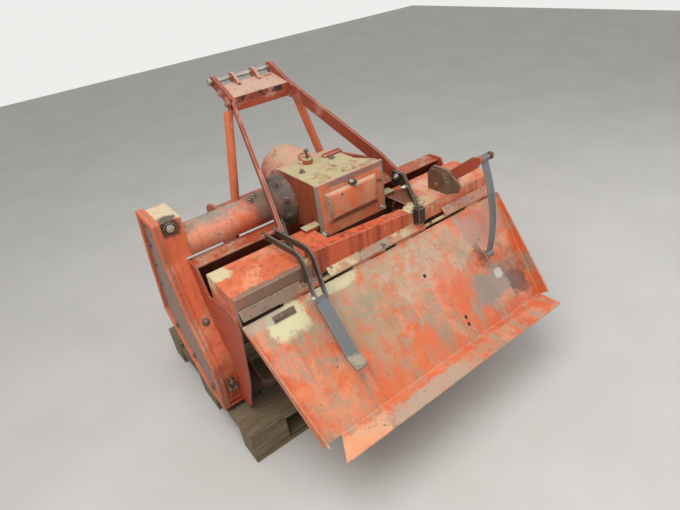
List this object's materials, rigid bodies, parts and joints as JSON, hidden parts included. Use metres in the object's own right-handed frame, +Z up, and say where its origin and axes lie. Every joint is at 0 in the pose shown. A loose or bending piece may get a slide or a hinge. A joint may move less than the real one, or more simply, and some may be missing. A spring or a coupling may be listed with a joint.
{
  "type": "mounted rotary tiller",
  "caption": "Tractor-mounted rotary tiller with side chain drive, hinged trailing board and cranked headstock, standing on a wooden pallet.",
  "frame": {"origin": "on the floor under the middle of the bounding box, 24 mm behind mid pallet", "axes": "+X to the machine's right, +Y forward in the way it travels, +Z up"},
  "size_m": [1.284, 1.2199, 1.1639],
  "materials": {
    "orange": "faded orange-red paint, worn and dusty",
    "case": "old paint over cast iron, oily",
    "steel": "bare steel with a brown film",
    "dark": "rusty and greasy black iron",
    "wood": "grey weathered softwood"
  },
  "bodies": {
    "root": {"pallet_deck_boards": "wood", "pallet_cross_boards": "wood", "pallet_blocks": "wood", "pallet_bottom_boards": "wood", "skid_left": "orange", "skid_right": "orange", "chain_case": "case", "chain_case_cover": "orange", "side_plate_left": "orange", "side_plate_right": "orange", "hood_rear": "orange", "hood_front": "orange", "hood_beam": "orange", "drive_tube": "orange", "gearbox": "case", "gearbox_cover": "orange", "gearbox_side_cap": "orange", "stay_left": "orange", "stay_right": "orange", "headstock_bridge": "orange", "top_link_pin": "steel", "hitch_beam": "orange", "strut_left": "orange", "strut_right": "orange", "link_plate_left": "orange", "link_plate_right": "orange", "link_pin_left": "steel", "link_pin_right": "steel", "stay_bracket_left": "dark", "stay_bracket_right": "dark", "bearing_housing": "dark", "hinge_rod": "steel", "quadrant": "dark"},
    "rotor": {"rotor_shaft": "dark", "blades_1": "dark", "blades_2": "dark", "blades_3": "dark", "blades_4": "dark", "blades_5": "dark", "blades_6": "dark"},
    "input_shaft": {"input_shaft": "steel"},
    "trailing_board": {"trailing_board": "orange"},
    "adjusting_lever": {"adjusting_lever": "dark"},
    "adjusting_strip": {"adjusting_strip": "dark"},
    "left_spring": {"left_spring": "steel"}
  },
  "joints": [
    {"name": "rotor_turn", "type": "hinge", "parent": "root", "child": "rotor", "pos_m": [0, 0.05, 0.372], "axis": [1, 0, 0], "continuous": true},
    {"name": "input_turn", "type": "hinge", "parent": "root", "child": "input_shaft", "pos_m": [0, 0.36, 0.769], "axis": [0, 1, 0], "continuous": true},
    {"name": "board_swing", "type": "hinge", "parent": "root", "child": "trailing_board", "pos_m": [0, -0.247, 0.657], "axis": [-1, 0, 0], "range_deg": [-18, 36]},
    {"name": "lever_swing", "type": "hinge", "parent": "root", "child": "adjusting_lever", "pos_m": [0.323, -0.187, 0.757], "axis": [-1, 0, 0], "range_deg": [-14.4, 28.8]},
    {"name": "strip_swing", "type": "hinge", "parent": "adjusting_lever", "child": "adjusting_strip", "pos_m": [0.35, -0.36844, 0.89175], "axis": [-1, 0, 0], "range_deg": [-6.48, 3.24]},
    {"name": "spring_swing", "type": "hinge", "parent": "root", "child": "left_spring", "pos_m": [-0.316, -0.036, 0.768], "axis": [-1, 0, 0], "range_deg": [-7.92, 15.84]}
  ],
  "couplings": [
    {"joint": "input_turn", "follows": "rotor_turn", "ratio": 2.7},
    {"joint": "lever_swing", "follows": "board_swing", "ratio": 0.8},
    {"joint": "strip_swing", "follows": "board_swing", "ratio": -0.18},
    {"joint": "spring_swing", "follows": "board_swing", "ratio": 0.44}
  ]
}
